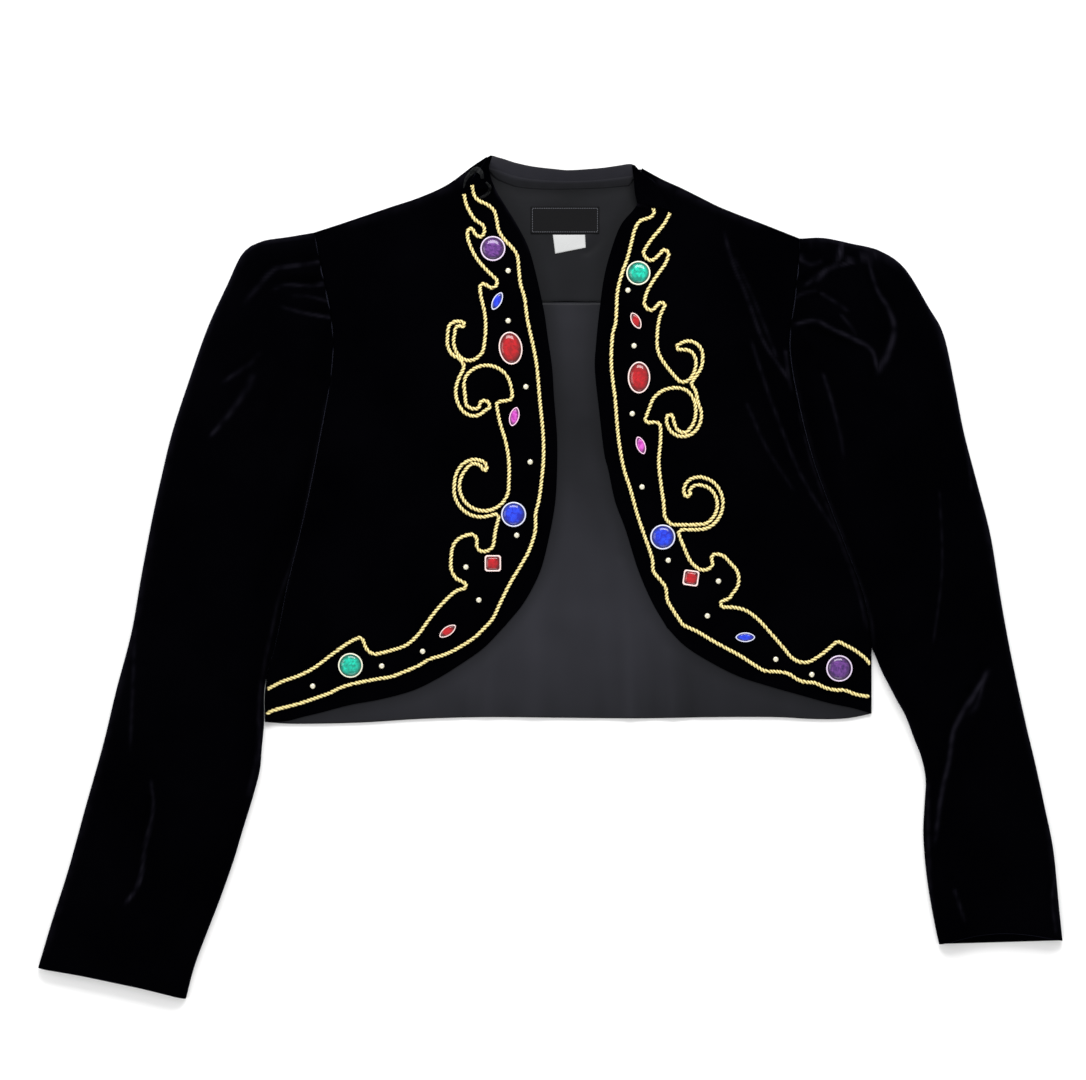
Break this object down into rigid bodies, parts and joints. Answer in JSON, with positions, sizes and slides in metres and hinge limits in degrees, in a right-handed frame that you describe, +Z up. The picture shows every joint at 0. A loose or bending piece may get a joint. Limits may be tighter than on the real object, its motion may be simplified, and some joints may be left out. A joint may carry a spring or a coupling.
{
  "type": "matador jacket",
  "caption": "Cropped open velvet bolero laid flat, with puffed pleated sleeve heads, satin lining, a short neck band and gilt cord scrollwork set with stones along both fronts.",
  "frame": {"origin": "centre of the bounding box on the surface that the jacket lies on", "axes": "+Z up out of the surface, +Y from the hem towards the neck, +X towards the sleeve on the viewer's right, which is the wearer's left"},
  "size_m": [0.839, 0.6905, 0.035],
  "materials": {
    "velvet": "black cotton velvet, dull with a soft bluish sheen on its folds",
    "satin": "charcoal satin lining, soft gloss",
    "gilt_cord": "twisted gilt cord, metallic thread",
    "woven_label": "bare black woven label",
    "care_tape": "bare white care tape",
    "stone_purple": "purple acrylic stone in a silvered rim, gloss",
    "stone_blue": "blue acrylic stone in a silvered rim, gloss",
    "stone_red": "red acrylic stone in a silvered rim, gloss",
    "stone_pink": "pink acrylic stone in a silvered rim, gloss",
    "stone_green": "green acrylic stone in a silvered rim, gloss"
  },
  "bodies": {
    "root": {"back": "velvet", "neck_facing": "satin", "lining": "satin", "front_left": "velvet", "front_right": "velvet", "sleeve_left_upper": "velvet", "sleeve_left_under": "velvet", "sleeve_right_upper": "velvet", "sleeve_right_under": "velvet", "neck_band": "velvet", "brand_label": "woven_label", "care_label": "care_tape", "edge_cord_left": "gilt_cord", "scroll_cord_left": "gilt_cord", "edge_cord_right": "gilt_cord", "scroll_cord_right": "gilt_cord", "stone_01_round_purple": "stone_purple", "stone_02_marquise_blue": "stone_blue", "stone_03_oval_red": "stone_red", "stone_04_marquise_pink": "stone_pink", "stone_05_round_blue": "stone_blue", "stone_06_square_red": "stone_red", "stone_07_marquise_red": "stone_red", "stone_08_round_green": "stone_green", "stone_09_round_green": "stone_green", "stone_10_marquise_red": "stone_red", "stone_11_oval_red": "stone_red", "stone_12_marquise_pink": "stone_pink", "stone_13_round_blue": "stone_blue", "stone_14_square_red": "stone_red", "stone_15_marquise_blue": "stone_blue", "stone_16_round_purple": "stone_purple"}
  },
  "joints": []
}
